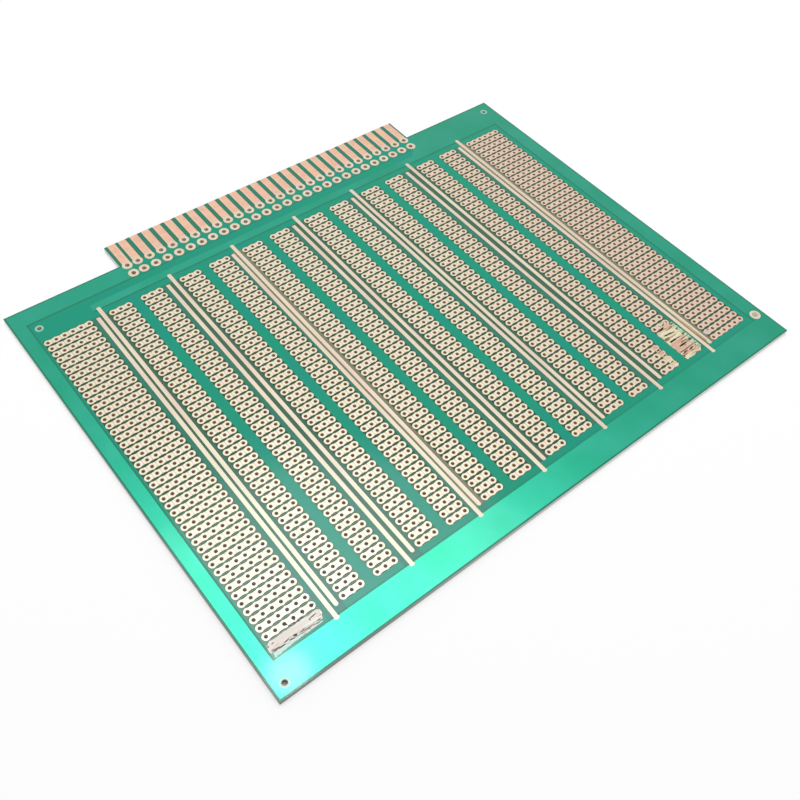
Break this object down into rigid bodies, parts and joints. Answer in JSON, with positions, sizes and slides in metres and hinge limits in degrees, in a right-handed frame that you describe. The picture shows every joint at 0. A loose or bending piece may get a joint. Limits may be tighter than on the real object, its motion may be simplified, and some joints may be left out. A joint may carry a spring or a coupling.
{
  "type": "bare circuit board",
  "caption": "Bare prototyping circuit board with columns of pad strips, paired bus bars, a green solder mask and an edge-connector tab.",
  "frame": {"origin": "middle of the whole outline, tab included, on the underside", "axes": "+X to the right along the front edge, +Y towards the edge-connector tab, +Z out of the copper side"},
  "size_m": [0.1868, 0.149, 0.0017],
  "materials": {
    "laminate": "satin",
    "solder_mask": "gloss",
    "copper": "satin"
  },
  "bodies": {
    "root": {"laminate": "laminate", "solder_mask": "solder_mask", "ground_copper": "copper", "supply_copper": "copper", "edge_fingers": "copper", "edge_pads": "copper", "strips_left": "copper", "strips_a1": "copper", "strips_a2": "copper", "strips_b1": "copper", "strips_b2": "copper", "strips_c1": "copper", "strips_c2": "copper", "strips_d1": "copper", "strips_d2": "copper", "strips_e1": "copper", "strips_e2": "copper", "strips_f1": "copper", "strips_f2": "copper", "strips_right": "copper"}
  },
  "joints": []
}
